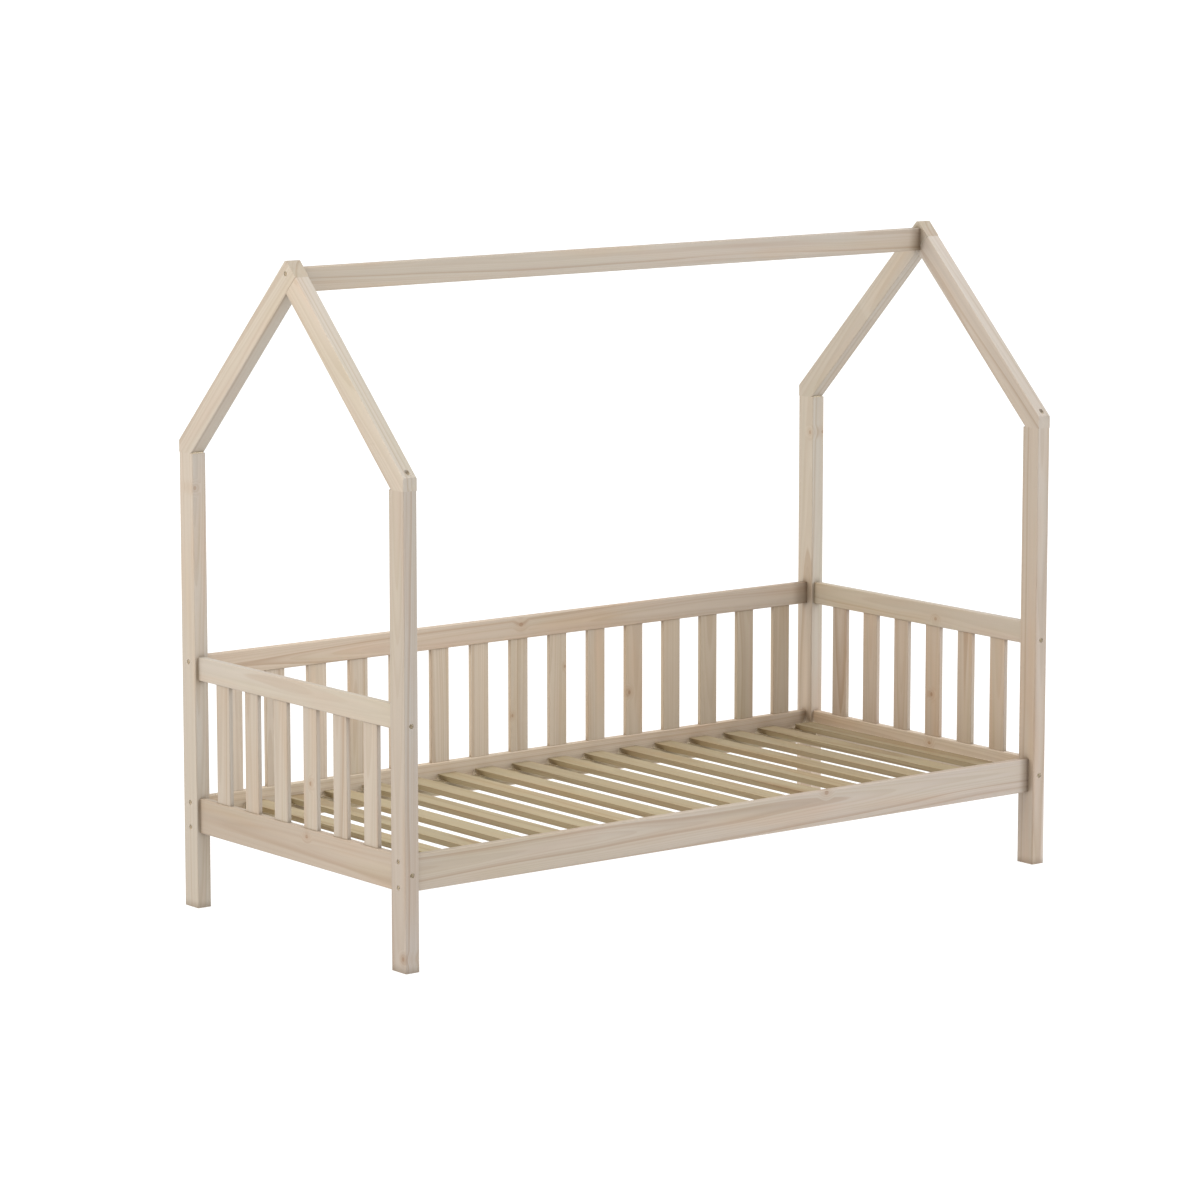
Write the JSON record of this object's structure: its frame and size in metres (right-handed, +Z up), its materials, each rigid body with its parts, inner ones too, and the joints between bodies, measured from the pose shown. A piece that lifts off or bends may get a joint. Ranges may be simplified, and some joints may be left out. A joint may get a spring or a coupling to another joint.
{
  "type": "house frame bed",
  "caption": "Child's low wooden bed with a house-shaped post and gable frame, slatted base, upright-slat fences on the back and both ends, and an open front with a low rail.",
  "frame": {"origin": "on the floor, under the middle of the bed", "axes": "+X along the bed, to the right seen from the open front; +Y from the open front to the back fence; +Z up"},
  "size_m": [2.08, 0.972, 1.679],
  "materials": {
    "frame_wood": "pale pine under a clear whitish matt lacquer",
    "slat_wood": "planed pine, unlacquered",
    "zinc_steel": "dull zinc plating",
    "dowel_wood": "plain beech"
  },
  "bodies": {
    "root": {"back_bottom_rail": "frame_wood", "back_cleat": "frame_wood", "back_fence_slat_01": "frame_wood", "back_fence_slat_02": "frame_wood", "back_fence_slat_03": "frame_wood", "back_fence_slat_04": "frame_wood", "back_fence_slat_05": "frame_wood", "back_fence_slat_06": "frame_wood", "back_fence_slat_07": "frame_wood", "back_fence_slat_08": "frame_wood", "back_fence_slat_09": "frame_wood", "back_fence_slat_10": "frame_wood", "back_fence_slat_11": "frame_wood", "back_fence_slat_12": "frame_wood", "back_fence_slat_13": "frame_wood", "back_fence_slat_14": "frame_wood", "back_fence_slat_15": "frame_wood", "back_top_rail": "frame_wood", "bed_slat_01": "slat_wood", "bed_slat_02": "slat_wood", "bed_slat_03": "slat_wood", "bed_slat_04": "slat_wood", "bed_slat_05": "slat_wood", "bed_slat_06": "slat_wood", "bed_slat_07": "slat_wood", "bed_slat_08": "slat_wood", "bed_slat_09": "slat_wood", "bed_slat_10": "slat_wood", "bed_slat_11": "slat_wood", "bed_slat_12": "slat_wood", "bed_slat_13": "slat_wood", "bed_slat_14": "slat_wood", "bed_slat_15": "slat_wood", "bed_slat_16": "slat_wood", "bed_slat_17": "slat_wood", "cleat_screws": "zinc_steel", "dowels": "dowel_wood", "front_cleat": "frame_wood", "front_left_post": "frame_wood", "front_left_rafter": "frame_wood", "front_rail": "frame_wood", "front_right_post": "frame_wood", "front_right_rafter": "frame_wood", "left_bottom_rail": "frame_wood", "left_fence_slats": "frame_wood", "left_top_rail": "frame_wood", "rail_screws": "zinc_steel", "rear_left_post": "frame_wood", "rear_left_rafter": "frame_wood", "rear_right_post": "frame_wood", "rear_right_rafter": "frame_wood", "ridge_beam": "frame_wood", "right_bottom_rail": "frame_wood", "right_fence_slats": "frame_wood", "right_top_rail": "frame_wood", "roof_screws": "zinc_steel", "slat_screws": "zinc_steel"}
  },
  "joints": []
}
